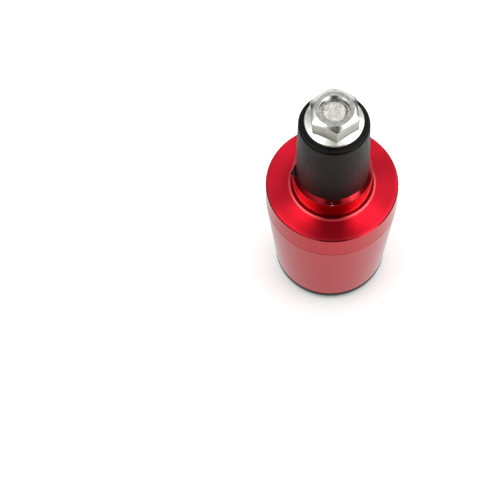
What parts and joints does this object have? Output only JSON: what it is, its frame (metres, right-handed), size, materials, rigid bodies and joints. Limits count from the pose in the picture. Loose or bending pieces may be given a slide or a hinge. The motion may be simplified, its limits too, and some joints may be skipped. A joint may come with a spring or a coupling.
{
  "type": "bar end weight",
  "caption": "Turned bar end for a handlebar: a tapered sleeve and shoulder ring with a black cap, and a rubber plug that a long socket screw and a flange nut squeeze tight in the bar.",
  "frame": {"origin": "centre of the cap's flat outer face, on which the part stands", "axes": "+Z runs along the screw, from the cap to the nut"},
  "size_m": [0.0324, 0.0324, 0.0714],
  "materials": {
    "black_anodised": "satin anodised",
    "red_anodised": "gloss anodised",
    "plug_rubber": "matt moulded",
    "zinc_steel": "bright zinc plated"
  },
  "bodies": {
    "root": {"end_cap": "black_anodised", "tapered_sleeve": "red_anodised", "shoulder_ring": "red_anodised", "rubber_plug": "plug_rubber", "flange_nut": "zinc_steel", "socket_screw": "zinc_steel"}
  },
  "joints": []
}
